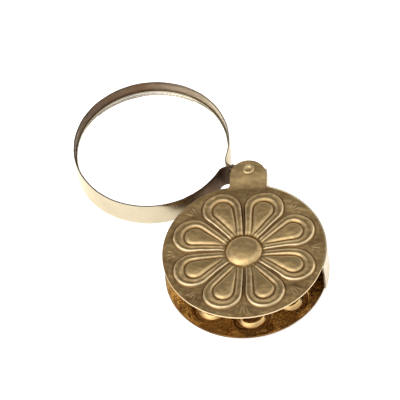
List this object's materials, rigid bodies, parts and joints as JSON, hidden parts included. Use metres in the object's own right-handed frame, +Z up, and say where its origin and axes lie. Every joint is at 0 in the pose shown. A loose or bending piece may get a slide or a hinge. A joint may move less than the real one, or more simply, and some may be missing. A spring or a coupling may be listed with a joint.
{
  "type": "folding pocket loupe",
  "caption": "Folding pocket loupe: a biconvex lens in a brass hoop that swings out of a stamped round brass case with a pressed flower on both covers.",
  "frame": {"origin": "centre of the case, on the flat crown of the lower cover's dome, which is what the case rests on", "axes": "+Z up through the covers, +Y from the case's centre to the pivot, +X to the side that the wall closes"},
  "size_m": [0.0836, 0.095, 0.0147],
  "materials": {
    "cover_brass": "aged, satin, darker in the hollows",
    "strip_brass": "aged, satin",
    "rivet_brass": "rubbed, satin",
    "hoop_brass": "polished, lightly tarnished",
    "dark_brass": "dark patina",
    "lens_glass": "polished faces, ground edge"
  },
  "bodies": {
    "case": {"top_cover": "cover_brass", "bottom_cover": "cover_brass", "side_wall": "strip_brass", "pivot_rivet": "rivet_brass", "lower_washer": "rivet_brass", "upper_washer": "rivet_brass"},
    "lens_frame": {"lens_hoop": "hoop_brass", "lens": "lens_glass", "upper_retaining_wire": "hoop_brass", "lower_retaining_wire": "hoop_brass", "hinge_knuckle": "dark_brass", "clamp_screw": "dark_brass", "clamp_nut": "dark_brass"}
  },
  "joints": [
    {"name": "lens_swing", "type": "hinge", "parent": "case", "child": "lens_frame", "pos_m": [0, 0.0322, 0.00732], "axis": [0, 0, 1], "range_deg": [-120, 110]}
  ]
}
